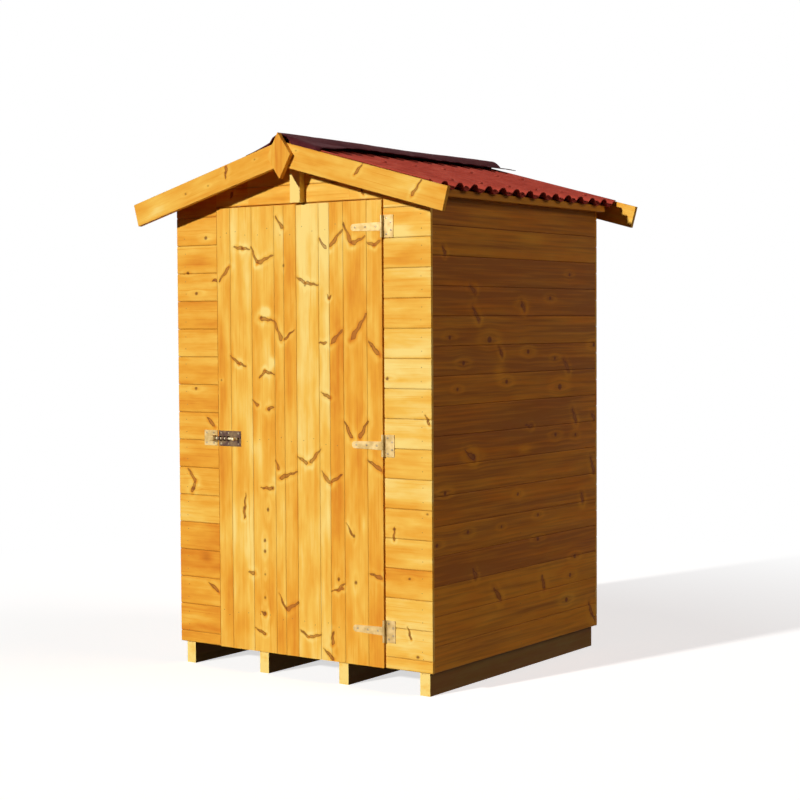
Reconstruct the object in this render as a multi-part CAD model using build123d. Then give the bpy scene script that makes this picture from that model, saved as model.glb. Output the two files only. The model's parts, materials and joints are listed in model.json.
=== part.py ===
"""Wooden garden shed with a single door and a corrugated apex roof.

Millimetres. X runs to the right, Y runs from the front to the back and Z is up.
The origin is on the ground under the centre of the finished outline.
"""
import os
from math import cos, radians, sin, tan

from build123d import *

# Plan and walls
SHED_WIDTH = 1220
SHED_DEPTH = 1220
CLADDING_THICKNESS = 12
CLADDING_BOTTOM = 86
TIMBER = 38

# Base
BEARER_WIDTH = 44
BEARER_HEIGHT = 95
OUTER_BEARER_INSET = 20
INNER_RIGHT_BEARER_SHIFT = 8
FLOOR_THICKNESS = 16

# Roof: its sheets' underside stands this far over the top corners of the door opening,
# and this far over the top of the side walls
ROOF_PITCH = 15.26
ROOF_OVER_DOOR_CORNER = 89
ROOF_OVER_SIDE_WALL = 10.5
RIDGE_BEAM_WIDTH = 38
PURLIN_FROM_RIDGE = 320
NOTCH_CLEARANCE = 1
RAFTER_JOINT = 1
EAVES_RAIL_WIDTH = 28
EAVES_RAIL_DROP = 32
EAVES_RAIL_OVERHANG = 20

# Bargeboards and finials
BARGEBOARD_THICKNESS = 18
BARGEBOARD_DEPTH = 89
BARGEBOARD_RISE = 26
BARGEBOARD_REACH = 139
GABLE_OVERHANG = 98
FINIAL_WIDTH = 111
FINIAL_HEIGHT = 172
FINIAL_THICKNESS = 20
FINIAL_SHIFT = 9
FINIAL_DROP = 56
FINIAL_TILT = 2.5
BACK_FINIAL_LOWERED = 8
GABLE_POST_WIDTH = 47
GABLE_POST_THICKNESS = 30
GABLE_POST_SHIFT = 15

# Corrugated sheets and ridge cap
SHEET_THICKNESS = 3
SHEET_HEIGHT = 30
CORRUGATION_PITCH = 98
FIRST_CROWN = 5
SHEET_REACH = 40
SHEET_RIDGE_GAP = 15
SHEET_SIDE_GAP = 2
SEAT = 0.3
CAP_THICKNESS = 3
CAP_WING = 122
CAP_ROLL_FRONT_WIDTH = 132
CAP_ROLL_BACK_WIDTH = 82
CAP_ROLL_HEIGHT = 26
CAP_BACK_OVERHANG = 67
CAP_LAP = 120

# Door
DOOR_WIDTH = 795
DOOR_HEIGHT = 1717
DOOR_THICKNESS = 12
DOOR_GAP = 5
DOOR_PROUD = 5
DOOR_REBATE = 13.5
LEDGE_WIDTH = 94
LEDGE_THICKNESS = 22
LEDGE_INSET = 19.5
BOTTOM_LEDGE_INSET = 137
MIDDLE_LEDGE_RISE = 683
TOP_LEDGE_INSET = 97
BRACE_WIDTH = 80

# Tee hinges
STRAP_LENGTH = 142
STRAP_WIDTH = 32
STRAP_TIP_WIDTH = 26
HINGE_METAL = 2.5
HINGE_PLATE_WIDTH = 44
HINGE_PLATE_HEIGHT = 82
KNUCKLE_RADIUS = 5
KNUCKLE_HEIGHT = 26
KNUCKLE_GAP = 1
PIN_RADIUS = 2.5
PIN_CLEARANCE = 0.3
KNUCKLE_STANDOFF = 0.3

# Door bolt
BOLT_HEIGHT = 908
BOLT_RADIUS = 5.5
BOLT_CLEARANCE = 0.6
BOLT_LENGTH = 108
BOLT_CHAMFER = 1.1
BOLT_SETBACK = 4.5
BOLT_PLATE_WIDTH = 112
BOLT_PLATE_HEIGHT = 60
BOLT_PLATE_EDGE = 3
BOLT_METAL = 2
GUIDE_LENGTH = 10
GUIDE_SPACING = 20
GUIDE_COUNT = 3
GUIDE_EDGE = 4
GUIDE_METAL = 3
KNOB_STEM_RADIUS = 3.5
KNOB_RADIUS = 7
KNOB_REACH = 18
KNOB_FROM_END = 7
KEEP_PLATE_WIDTH = 67
KEEP_EDGE = 4
KEEP_LOOP_LENGTH = 20
KEEP_LOOP_EDGE = 6
KEEP_LOOP_CLEARANCE = 2
KEEP_LOOP_METAL = 3

# Derived planes and heights
half_width = SHED_WIDTH / 2
half_depth = SHED_DEPTH / 2
inner_width = half_width - CLADDING_THICKNESS
inner_depth = half_depth - CLADDING_THICKNESS
frame_width = inner_width - TIMBER
frame_depth = inner_depth - TIMBER
floor_top = BEARER_HEIGHT + FLOOR_THICKNESS
rail_top = floor_top + TIMBER
slope = tan(radians(ROOF_PITCH))
slope_cos = cos(radians(ROOF_PITCH))
slope_sin = sin(radians(ROOF_PITCH))
timber_on_slope = TIMBER / slope_cos
opening_half = DOOR_WIDTH / 2 + DOOR_GAP
opening_top = CLADDING_BOTTOM + DOOR_HEIGHT + DOOR_GAP
post_inner = DOOR_WIDTH / 2 - DOOR_REBATE
post_outer = post_inner + TIMBER
head_bottom = opening_top - TIMBER
barge_face = half_depth + GABLE_OVERHANG
barge_back = barge_face - BARGEBOARD_THICKNESS

# The walls are drawn about their own centre, then moved to centre the whole outline,
# which runs from the front finial to the end of the ridge cap
cap_past_finial = max(CAP_BACK_OVERHANG - FINIAL_THICKNESS, 0)
to_outline_centre = Pos(0, -cap_past_finial / 2, 0)


def roof_line(x, rise=0.0):
    """Height of the line `rise` above the sheets' underside at distance x from the ridge."""
    return opening_top + ROOF_OVER_DOOR_CORNER + (opening_half - abs(x)) * slope + rise


side_wall_top = roof_line(half_width) - ROOF_OVER_SIDE_WALL
rafter_top = -timber_on_slope
rafter_bottom = -2 * timber_on_slope
ridge_seat = roof_line(RIDGE_BEAM_WIDTH / 2, rafter_top)
door_front = -half_depth - DOOR_PROUD
door_back = door_front + DOOR_THICKNESS
door_top = CLADDING_BOTTOM + DOOR_HEIGHT
bottom_ledge = CLADDING_BOTTOM + BOTTOM_LEDGE_INSET
ledge_heights = (bottom_ledge, bottom_ledge + MIDDLE_LEDGE_RISE, door_top - TOP_LEDGE_INSET)
hinge_x = opening_half - DOOR_GAP / 2
hinge_y = door_front - KNUCKLE_RADIUS - KNUCKLE_STANDOFF
bolt_y = door_front - BOLT_METAL - BOLT_RADIUS - BOLT_CLEARANCE
door_edge = -DOOR_WIDTH / 2
bolt_tip = door_edge - BOLT_SETBACK


def block(left, right, front, back, bottom, top):
    """A rectangular timber between six planes."""
    centre = ((left + right) / 2, (front + back) / 2, (bottom + top) / 2)
    return Pos(*centre) * Box(right - left, back - front, top - bottom)


def prism(outline, front, back):
    """An outline drawn in X and Z, extruded from front to back."""
    face = Plane.XZ.offset(-front) * make_face(Polyline(*outline, close=True))
    return extrude(face, amount=back - front, dir=(0, 1, 0))


def mirrored_x(shape):
    return mirror(shape, Plane.YZ)


def mirrored_y(shape):
    return mirror(shape, Plane.XZ)


def node(*solids):
    """Like pieces that don't touch, kept together."""
    return Compound([solid for piece in solids for solid in piece.solids()])


def bearer(centre):
    half = BEARER_WIDTH / 2
    return block(centre - half, centre + half, -inner_depth, inner_depth, 0, BEARER_HEIGHT)


def bearers():
    outer = half_width - OUTER_BEARER_INSET - BEARER_WIDTH / 2
    inner = outer / 3
    return {
        "bearer_left": bearer(-outer),
        "bearer_inner_left": bearer(-inner),
        "bearer_inner_right": bearer(inner + INNER_RIGHT_BEARER_SHIFT),
        "bearer_right": bearer(outer),
    }


def floor():
    return block(-inner_width, inner_width, -inner_depth, inner_depth, BEARER_HEIGHT, floor_top)


def purlin_outline(clearance=0.0):
    """Square timber lying on the rafters of the right-hand slope."""
    half = TIMBER / 2 + clearance
    centre_x = PURLIN_FROM_RIDGE
    centre_z = roof_line(centre_x, -timber_on_slope / 2)
    along = (half * slope_cos, -half * slope_sin)
    normal = (half * slope_sin, half * slope_cos)
    return [
        (
            centre_x + a * along[0] + n * normal[0],
            centre_z + a * along[1] + n * normal[1],
        )
        for a, n in ((-1, -1), (1, -1), (1, 1), (-1, 1))
    ]


def ridge_outline(clearance=0.0):
    """Ridge beam with its top bevelled to both slopes."""
    half = RIDGE_BEAM_WIDTH / 2 + clearance
    return [
        (-half, ridge_seat - clearance),
        (half, ridge_seat - clearance),
        (half, roof_line(half, clearance)),
        (0, roof_line(0, clearance)),
        (-half, roof_line(half, clearance)),
    ]


def roof_timbers():
    beam = prism(ridge_outline(), -barge_back, barge_back)
    purlin = prism(purlin_outline(), -barge_back, barge_back)
    rail_end = half_depth + EAVES_RAIL_OVERHANG
    rail_inner = half_width
    rail_outer = half_width + EAVES_RAIL_WIDTH
    rail_bottom = roof_line(rail_inner) - EAVES_RAIL_DROP
    rail = prism(
        [
            (rail_inner, rail_bottom),
            (rail_outer, rail_bottom),
            (rail_outer, roof_line(rail_outer)),
            (rail_inner, roof_line(rail_inner)),
        ],
        -rail_end,
        rail_end,
    )
    return {
        "ridge_beam": beam,
        "purlin_left": mirrored_x(purlin),
        "purlin_right": purlin,
        "eaves_rail_left": mirrored_x(rail),
        "eaves_rail_right": rail,
    }


def notched(wall):
    """Gable cladding with notches for the ridge beam and the purlins."""
    purlin = prism(purlin_outline(NOTCH_CLEARANCE), -barge_back, barge_back)
    beam = prism(ridge_outline(NOTCH_CLEARANCE), -barge_back, barge_back)
    return wall - beam - purlin - mirrored_x(purlin)


def gable_panel(left, right, bottom, front):
    """End wall cladding between two X positions, up to the underside of the sheets."""
    outline = [(left, bottom), (right, bottom), (right, roof_line(right))]
    if left < 0 < right:
        outline.append((0, roof_line(0)))
    outline.append((left, roof_line(left)))
    return notched(prism(outline, front, front + CLADDING_THICKNESS))


def walls():
    side = block(
        inner_width, half_width, -inner_depth, inner_depth, CLADDING_BOTTOM, side_wall_top
    )
    front = -half_depth
    return {
        "front_wall_left": gable_panel(-half_width, -opening_half, CLADDING_BOTTOM, front),
        "front_wall_right": gable_panel(opening_half, half_width, CLADDING_BOTTOM, front),
        "front_gable": gable_panel(-opening_half, opening_half, opening_top, front),
        "left_wall": mirrored_x(side),
        "right_wall": side,
        "back_wall": gable_panel(-half_width, half_width, CLADDING_BOTTOM, inner_depth),
    }


def corner_stud():
    """Right-hand stud of an end frame, cut to the rafter over it."""
    left = frame_width - TIMBER
    right = frame_width
    return prism(
        [
            (left, rail_top),
            (right, rail_top),
            (right, roof_line(right, rafter_bottom)),
            (left, roof_line(left, rafter_bottom)),
        ],
        -inner_depth,
        -frame_depth,
    )


def middle_rails(studs, level, make):
    """Short rails between neighbouring studs, given as (start, end) pairs."""
    bottom = level - TIMBER / 2
    top = level + TIMBER / 2
    return [make(a[1], b[0], bottom, top) for a, b in zip(studs, studs[1:])]


def end_frames():
    corner = corner_stud()
    level = BOLT_HEIGHT
    front = -inner_depth
    back = -frame_depth
    post = block(post_inner, post_outer, front, back, rail_top, head_bottom)
    bottom_rail = block(-frame_width, frame_width, front, back, floor_top, rail_top)
    side_rail = block(
        post_outer, frame_width - TIMBER, front, back, level - TIMBER / 2, level + TIMBER / 2
    )
    head = block(-post_outer, post_outer, front, back, head_bottom, opening_top)

    half = TIMBER / 2
    centre_stud = block(-half, half, front, back, rail_top, roof_line(half, rafter_bottom))
    studs = [(-frame_width, TIMBER - frame_width), (-half, half)]
    studs.append((frame_width - TIMBER, frame_width))
    back_rails = middle_rails(
        studs, level, lambda a, b, low, high: block(a, b, front, back, low, high)
    )
    return {
        "front_wall_studs": node(corner, mirrored_x(corner), post, mirrored_x(post)),
        "front_wall_rails": node(bottom_rail, side_rail, mirrored_x(side_rail)),
        "door_head": head,
        "back_wall_studs": mirrored_y(node(corner, mirrored_x(corner), centre_stud)),
        "back_wall_rails": mirrored_y(node(bottom_rail, *back_rails)),
    }


def side_frames():
    left = frame_width
    right = inner_width
    top = side_wall_top - TIMBER
    half = TIMBER / 2
    spans = [(-inner_depth, -frame_depth), (-half, half), (frame_depth, inner_depth)]
    studs = node(*[block(left, right, a, b, rail_top, top) for a, b in spans])
    short = middle_rails(
        spans, BOLT_HEIGHT, lambda a, b, low, high: block(left, right, a, b, low, high)
    )
    rails = node(
        block(left, right, -inner_depth, inner_depth, floor_top, rail_top),
        block(left, right, -inner_depth, inner_depth, top, side_wall_top),
        *short,
    )
    return {
        "left_wall_studs": mirrored_x(studs),
        "left_wall_rails": mirrored_x(rails),
        "right_wall_studs": studs,
        "right_wall_rails": rails,
    }


def rafters():
    joint = RAFTER_JOINT / 2
    seat = RIDGE_BEAM_WIDTH / 2
    rafter = prism(
        [
            (joint, roof_line(joint, rafter_bottom)),
            (frame_width, roof_line(frame_width, rafter_bottom)),
            (frame_width, roof_line(frame_width, rafter_top)),
            (seat, ridge_seat),
            (joint, ridge_seat),
        ],
        -inner_depth,
        -frame_depth,
    )
    pair = node(rafter, mirrored_x(rafter))
    return {"front_rafters": pair, "back_rafters": mirrored_y(pair)}


def corrugated_outline(width):
    """Section of a sheet: tangent arcs, trimmed to the sheet's width."""
    quarter = CORRUGATION_PITCH / 4
    sagitta = (SHEET_HEIGHT - SHEET_THICKNESS) / 2
    radius = (quarter**2 + sagitta**2) / (2 * sagitta)
    middle = SHEET_HEIGHT / 2
    half_waves = 2 * int(width / CORRUGATION_PITCH + 3)
    start = FIRST_CROWN - 2 * CORRUGATION_PITCH
    section = None
    for index in range(half_waves):
        side = 1 if index % 2 == 0 else -1
        centre_x = start + 2 * quarter * index
        centre_y = middle + side * (sagitta - radius)
        reach = 2 * radius
        ring = Circle(radius + SHEET_THICKNESS / 2) - Circle(radius - SHEET_THICKNESS / 2)
        wedge = make_face(
            Polyline(
                (0, 0),
                (-reach * quarter / radius, side * reach * (radius - sagitta) / radius),
                (0, side * 2 * reach),
                (reach * quarter / radius, side * reach * (radius - sagitta) / radius),
                close=True,
            )
        )
        arch = Pos(centre_x, centre_y) * (ring & wedge)
        section = arch if section is None else section + arch
    trim = Pos(width / 2, middle) * Rectangle(width, 2 * SHEET_HEIGHT)
    return section & trim


def roof_sheet():
    """Right-hand sheet, its corrugations running down the slope."""
    front = -barge_back + SHEET_SIDE_GAP
    width = 2 * -front
    start = SHEET_RIDGE_GAP / slope_cos
    length = (half_width + SHEET_REACH) / slope_cos - start
    origin = (SHEET_RIDGE_GAP, front, roof_line(SHEET_RIDGE_GAP, SEAT))
    plane = Plane(origin=origin, x_dir=(0, 1, 0), z_dir=(slope_cos, 0, -slope_sin))
    return extrude(plane * corrugated_outline(width), amount=length)


def cap_piece(roll_width, lift, front, back):
    """Length of ridge cap: an arched roll between two wings that lie on the crowns."""
    crown = SHEET_HEIGHT / slope_cos + 2 * SEAT + lift
    top = roof_line(0, crown + CAP_ROLL_HEIGHT)

    def half(root, rise):
        wing = (CAP_WING, roof_line(CAP_WING, crown + rise))
        foot = (root, roof_line(root, crown + rise))
        return wing, foot, (-foot[0], foot[1]), (-wing[0], wing[1])

    under = half(roll_width / 2 - CAP_THICKNESS, 0)
    over = half(roll_width / 2, CAP_THICKNESS / slope_cos)
    outline = [
        Line(under[0], under[1]),
        ThreePointArc(under[1], (0, top - CAP_THICKNESS), under[2]),
        Line(under[2], under[3]),
        Line(under[3], over[3]),
        Line(over[3], over[2]),
        ThreePointArc(over[2], (0, top), over[1]),
        Line(over[1], over[0]),
        Line(over[0], under[0]),
    ]
    face = Plane.XZ.offset(-front) * make_face(outline)
    return extrude(face, amount=back - front, dir=(0, 1, 0))


def ridge_cap():
    """Two pieces, the wider front one lapped over the back one, which overhangs the boards."""
    front = -barge_face
    back = barge_face + CAP_BACK_OVERHANG
    length = (back - front + CAP_LAP) / 2
    upper = cap_piece(CAP_ROLL_FRONT_WIDTH, CAP_THICKNESS / slope_cos, front, front + length)
    lower = cap_piece(CAP_ROLL_BACK_WIDTH, 0, back - length, back)
    return upper + lower


def bargeboard():
    """Front right-hand bargeboard: plumb cut at the ridge, square cut at the eaves."""
    end_x = half_width + BARGEBOARD_REACH
    end_z = roof_line(end_x, BARGEBOARD_RISE)
    foot = (end_x - BARGEBOARD_DEPTH * slope_sin, end_z - BARGEBOARD_DEPTH * slope_cos)
    top = roof_line(0, BARGEBOARD_RISE)
    outline = [(0, top - BARGEBOARD_DEPTH / slope_cos), foot, (end_x, end_z), (0, top)]
    return prism(outline, -barge_face, -barge_back)


def finial():
    """Diamond block on the face of the front bargeboards."""
    half_w = FINIAL_WIDTH / 2
    half_h = FINIAL_HEIGHT / 2
    centre_z = roof_line(0, BARGEBOARD_RISE) - FINIAL_DROP
    diamond = make_face(Polyline((0, -half_h), (half_w, 0), (0, half_h), (-half_w, 0), close=True))
    face = Plane.XZ.offset(barge_face) * Pos(FINIAL_SHIFT, centre_z) * Rot(0, 0, FINIAL_TILT)
    return extrude(face * diamond, amount=FINIAL_THICKNESS)


def gable_post():
    left = GABLE_POST_SHIFT - GABLE_POST_WIDTH / 2
    front = -half_depth - GABLE_POST_THICKNESS
    return block(left, left + GABLE_POST_WIDTH, front, -half_depth, opening_top, ridge_seat)


def roof():
    sheet = roof_sheet()
    board = bargeboard()
    diamond = finial()
    return {
        "roof_sheet_left": mirrored_x(sheet),
        "roof_sheet_right": sheet,
        "ridge_cap": ridge_cap(),
        "front_bargeboard_left": mirrored_x(board),
        "front_bargeboard_right": board,
        "back_bargeboard_left": mirrored_x(mirrored_y(board)),
        "back_bargeboard_right": mirrored_y(board),
        "front_finial": diamond,
        "back_finial": Pos(0, 0, -BACK_FINIAL_LOWERED) * mirrored_y(diamond),
        "gable_post": gable_post(),
    }


def ledge_span():
    """Front and back planes of the ledges and braces, behind the door's boards."""
    return door_back, door_back + LEDGE_THICKNESS


def door():
    """Boarded leaf with ledges across its back and braces rising from the hinge side."""
    front, back = ledge_span()
    half = DOOR_WIDTH / 2 - LEDGE_INSET
    rise = LEDGE_WIDTH / 2
    leaf = block(
        -DOOR_WIDTH / 2,
        DOOR_WIDTH / 2,
        door_front,
        door_back,
        CLADDING_BOTTOM,
        door_top,
    )
    ledges = [block(-half, half, front, back, z - rise, z + rise) for z in ledge_heights]
    braces = [
        prism(
            [
                (half - BRACE_WIDTH, low + rise),
                (half, low + rise),
                (BRACE_WIDTH - half, high - rise),
                (-half, high - rise),
            ],
            front,
            back,
        )
        for low, high in zip(ledge_heights, ledge_heights[1:])
    ]
    return {"door_leaf": leaf, "door_ledges": node(*ledges), "door_braces": node(*braces)}


def knuckle(height):
    return Cylinder(KNUCKLE_RADIUS, height)


def hinge_strap():
    """Tapered strap with its middle knuckle, centred on the hinge line."""
    reach = STRAP_LENGTH
    half = STRAP_WIDTH / 2
    tip = STRAP_TIP_WIDTH / 2
    back = door_front - hinge_y
    edge = [
        Line((0, -half), (0, half)),
        Line((0, half), (tip - reach, tip)),
        Line((0, -half), (tip - reach, -tip)),
        ThreePointArc((tip - reach, tip), (-reach, 0), (tip - reach, -tip)),
    ]
    face = Plane.XZ.offset(-back) * make_face(edge)
    strap = extrude(face, amount=HINGE_METAL)
    relief = HINGE_PLATE_HEIGHT / 2
    gap = KNUCKLE_HEIGHT / 2
    for side in (-1, 1):
        low, high = sorted((side * gap, side * relief))
        strap -= block(-KNUCKLE_RADIUS - KNUCKLE_GAP, 0, -relief, relief, low, high)
    bore = Cylinder(PIN_RADIUS + PIN_CLEARANCE, 2 * HINGE_PLATE_HEIGHT)
    return strap + knuckle(KNUCKLE_HEIGHT) - bore


def hinge_plate():
    """Wall plate with its end knuckles and the pin, centred on the hinge line."""
    back = -half_depth - hinge_y
    half = HINGE_PLATE_HEIGHT / 2
    left = KNUCKLE_RADIUS - HINGE_METAL
    plate = block(left, left + HINGE_PLATE_WIDTH, back - HINGE_METAL, back, -half, half)
    plate += block(left, left + HINGE_METAL, 0, back, -half, half)
    lowest = KNUCKLE_HEIGHT / 2 + KNUCKLE_GAP
    height = half - lowest
    for side in (-1, 1):
        plate += Pos(0, 0, side * (lowest + height / 2)) * knuckle(height)
    slot = KNUCKLE_RADIUS + KNUCKLE_GAP
    plate -= block(-slot, left + HINGE_METAL, -slot, slot, -lowest, lowest)
    return plate + Cylinder(PIN_RADIUS, HINGE_PLATE_HEIGHT)


def hinges():
    places = [Pos(hinge_x, hinge_y, z) for z in ledge_heights]
    return {
        "hinge_straps": node(*[place * hinge_strap() for place in places]),
        "hinge_plates": node(*[place * hinge_plate() for place in places]),
    }


def bolt_guide(left, length, plate_front):
    """Saddle over the bolt, standing on the plate behind it."""
    bore = BOLT_RADIUS + BOLT_CLEARANCE
    outer = bore + GUIDE_METAL
    body = Pos(left + length / 2, bolt_y, BOLT_HEIGHT) * Rot(0, 90, 0) * Cylinder(outer, length)
    body += block(left, left + length, bolt_y, plate_front, BOLT_HEIGHT - outer, BOLT_HEIGHT + outer)
    hole = Pos(left + length / 2, bolt_y, BOLT_HEIGHT) * Rot(0, 90, 0) * Cylinder(bore, 2 * length)
    slot = block(
        left - length,
        left + 2 * length,
        bolt_y,
        plate_front,
        BOLT_HEIGHT - bore,
        BOLT_HEIGHT + bore,
    )
    keep_clear = block(
        left - length,
        left + 2 * length,
        plate_front,
        plate_front + 2 * outer,
        BOLT_HEIGHT - 2 * outer,
        BOLT_HEIGHT + 2 * outer,
    )
    return body - hole - slot - keep_clear


def bolt_plate():
    """Base plate on the door with its guides."""
    left = door_edge + BOLT_PLATE_EDGE
    half = BOLT_PLATE_HEIGHT / 2
    front = door_front - BOLT_METAL
    plate = block(
        left, left + BOLT_PLATE_WIDTH, front, door_front, BOLT_HEIGHT - half, BOLT_HEIGHT + half
    )
    for index in range(GUIDE_COUNT):
        plate += bolt_guide(left + GUIDE_EDGE + index * GUIDE_SPACING, GUIDE_LENGTH, front)
    return plate


def bolt():
    """Round bar with a turned knob, drawn back clear of its keep."""
    bar = Cylinder(BOLT_RADIUS, BOLT_LENGTH)
    bar = chamfer(bar.edges().filter_by(GeomType.CIRCLE), BOLT_CHAMFER)
    bar = Pos(bolt_tip + BOLT_LENGTH / 2, bolt_y, BOLT_HEIGHT) * Rot(0, 90, 0) * bar
    knob_x = bolt_tip + BOLT_LENGTH - KNOB_FROM_END
    stem = Pos(knob_x, bolt_y - KNOB_REACH / 2, BOLT_HEIGHT) * Rot(90, 0, 0)
    bar += stem * Cylinder(KNOB_STEM_RADIUS, KNOB_REACH)
    return bar + Pos(knob_x, bolt_y - KNOB_REACH, BOLT_HEIGHT) * Sphere(KNOB_RADIUS)


def bolt_keep():
    """Wall plate with the folded strap that the bolt enters."""
    right = -opening_half - KEEP_EDGE
    half = BOLT_PLATE_HEIGHT / 2
    front = -half_depth - BOLT_METAL
    plate = block(
        right - KEEP_PLATE_WIDTH,
        right,
        front,
        -half_depth,
        BOLT_HEIGHT - half,
        BOLT_HEIGHT + half,
    )
    loop_right = right - KEEP_LOOP_EDGE
    loop_left = loop_right - KEEP_LOOP_LENGTH
    inner = BOLT_RADIUS + KEEP_LOOP_CLEARANCE
    outer = inner + KEEP_LOOP_METAL
    strap = block(
        loop_left, loop_right, bolt_y - outer, front, BOLT_HEIGHT - outer, BOLT_HEIGHT + outer
    )
    folds = strap.edges().filter_by(Axis.X).group_by(Axis.Y)[0]
    strap = fillet(folds, KEEP_LOOP_METAL)
    strap -= block(
        loop_left, loop_right, bolt_y - inner, front, BOLT_HEIGHT - inner, BOLT_HEIGHT + inner
    )
    return plate + strap


def door_bolt():
    return {"bolt_plate": bolt_plate(), "bolt": bolt(), "bolt_keep": bolt_keep()}


def shed():
    parts = bearers()
    parts["floor"] = floor()
    for group in (walls, end_frames, side_frames, rafters, roof_timbers, roof, door, hinges, door_bolt):
        parts.update(group())
    return parts


os.makedirs("parts", exist_ok=True)
for name, shape in shed().items():
    export_step(to_outline_centre * shape, f"parts/{name}.step")
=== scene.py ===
import json
import math
import random

import bmesh
import bpy
import numpy as np
from mathutils import Matrix, Vector

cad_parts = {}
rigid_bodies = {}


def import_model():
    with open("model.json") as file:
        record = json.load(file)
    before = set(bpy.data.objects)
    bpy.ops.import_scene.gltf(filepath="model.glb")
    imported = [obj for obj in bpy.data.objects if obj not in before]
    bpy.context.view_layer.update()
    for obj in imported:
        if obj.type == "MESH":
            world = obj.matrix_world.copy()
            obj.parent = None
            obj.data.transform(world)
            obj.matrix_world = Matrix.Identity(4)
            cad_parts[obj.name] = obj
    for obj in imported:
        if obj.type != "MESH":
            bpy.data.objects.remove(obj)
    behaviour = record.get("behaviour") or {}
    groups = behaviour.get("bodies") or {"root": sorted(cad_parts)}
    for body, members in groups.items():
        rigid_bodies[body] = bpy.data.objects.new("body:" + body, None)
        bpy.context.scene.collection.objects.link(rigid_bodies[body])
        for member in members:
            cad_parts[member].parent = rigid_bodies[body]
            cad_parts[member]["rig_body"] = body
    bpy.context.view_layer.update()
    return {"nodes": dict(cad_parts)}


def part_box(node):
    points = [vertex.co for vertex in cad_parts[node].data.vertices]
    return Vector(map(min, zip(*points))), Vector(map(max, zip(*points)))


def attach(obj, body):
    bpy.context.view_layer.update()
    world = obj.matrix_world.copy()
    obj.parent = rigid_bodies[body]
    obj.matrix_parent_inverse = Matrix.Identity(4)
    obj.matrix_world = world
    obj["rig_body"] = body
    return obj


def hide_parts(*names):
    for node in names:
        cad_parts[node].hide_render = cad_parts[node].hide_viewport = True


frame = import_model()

nodes = frame["nodes"]
scene = bpy.context.scene
scene.view_settings.view_transform = "Standard"

MM = 0.001

# Sides of the grid cells on the boards: front and door, right wall, and the walls not seen
CELL = 0.0045
SIDE_CELL = 1.4 * CELL
HIDDEN_CELL = 2 * CELL

# Camera, fitted to the photograph's edges
CAMERA_AT = (4.0892, -5.7343, 1.3526)
CAMERA_TURN = 35.3438
CAMERA_PITCH = -2.5422
CAMERA_ROLL = -0.3387
CAMERA_LENS = 77.61
SENSOR = 36.0

# Light: angles in degrees
SUN_ELEVATION = 18
SUN_FROM_LEFT = 15
SUN_STRENGTH = 3.3
SUN_ANGLE = 2.5
SUN_COLOUR = (1.0, 0.985, 0.95)
FILL_STRENGTH = 0.68
FILL_ANGLE = 30
FILL_COLOUR = (1.0, 0.80, 0.74)
FILL_ELEVATION = 36
FILL_FROM_RIGHT = 108
SKY_STRENGTH = 0.022
SKY_COLOUR = (1.0, 0.78, 0.72)
FLOOR_BOUNCE = (0.05, 0.032, 0.025)
FLOOR_SEEN = (0.8, 0.8, 0.8)
FLOOR_GLOW = 0.66
FLOOR_HALF = 60
WHITE_FROM = 1.5
WHITE_RISE = 0.4

# Cladding boards
BOARD_COVER = 109.5 * MM
SIDE_COVER = BOARD_COVER * 0.994
FRONT_FIRST_JOINT = 130 * MM
SIDE_FIRST_JOINT = 181 * MM
GABLE_FIRST_JOINT = 1877 * MM
GABLE_SPLITS = (-240 * MM, 247 * MM)
SHORTEST_STRIP = 4 * MM
JOINT_GAP = 0.6 * MM
HIDDEN_KNOTS = 70
WALL_GROOVE = (3 * MM, 2.5 * MM)
DOOR_GROOVE = (1.8 * MM, 1.0 * MM)
BARGEBOARD_GROOVE = (1.2 * MM, 1.0 * MM)

# How light or dark boards are, and steps of the grain's seed from board to board
END_SPREAD = 0.09
SIDE_SPREAD = 0.08
# Painted shade: the side walls' boards are darker overall
SIDE_PAINTED_SHADE_TONE = -0.10
LEFT_PANEL_TONE = -0.06
RIGHT_PANEL_TONE = 0.12
BARGEBOARD_TONE = 0.02
DOOR_TONES = (-0.01, 0.03, 0.0, -0.02, -0.05, 0.10, 0.13, -0.06, -0.03, -0.01)
ROW_STEP = 0.37
COLUMN_STEP = 0.11
DOOR_STEP = 0.53

# Joints between the door's boards, and grooves down the middle of two of them
DOOR_JOINTS = [x * MM for x in (-330, -222, -110, -3, 105, 220, 328)]
MIDDLE_GROOVES = [x * MM for x in (-63, 155)]

# Ridge cap and roof sheets
CORRUGATION_PITCH = 98 * MM
FIRST_CREST = 5 * MM
CREST_RISE = 31.7 * MM
CAP_STEP = 16 * MM
CAP_SHEET = 2.8 * MM
CAP_LAYER = 3.2 * MM
CAP_LAP = (-50 * MM, 70 * MM)
CAP_SAG = 4 * MM
SAG_AT = 120 * MM
SAG_LENGTH = 300 * MM
BACK_ROLL = 56 * MM
BACK_ROLL_TAPER = 17.5 * MM
BACK_WING = 118 * MM
FRONT_ROLL = 62 * MM
FRONT_WING = 120 * MM
FLARED_WING = 56 * MM
FLARE_FROM = -400 * MM
WING_FLARE_LENGTH = 280 * MM
ROLL_FLARE_LENGTH = 300 * MM
NEAR_WING_LIFT = 11 * MM
FAR_WING_LIFT = 3 * MM
TURN_DOWN = 30 * MM
TURN_LENGTH = 22 * MM

# Heads of screws and nails: radius, height and the share of the height that is sunk at the centre
SCREW_HEAD = (4 * MM, 1.2 * MM, 0.9)
NAIL_HEAD = (1.7 * MM, 0.3 * MM, 0.1)
ROOF_NAIL_HEAD = (9 * MM, 5 * MM, 0.02)
NAILS_APART = 25 * MM
END_WALL_NAILS = 568 * MM
BACK_WALL_NAILS = 541 * MM
SIDE_WALL_NAILS = 31 * MM
ROOF_NAIL_ROWS = (320 * MM, 618 * MM)

# Hinges and bolt
HARDWARE_FACE = 2.5 * MM
BOLT_PLATE_FACE = 2 * MM
LEDGE_HALF = 47 * MM
MIDDLE_HINGE = 906 * MM
STRAP_SCREWS = (28 * MM, 75 * MM, 122 * MM)
STRAP_REACH = 150 * MM


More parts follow.
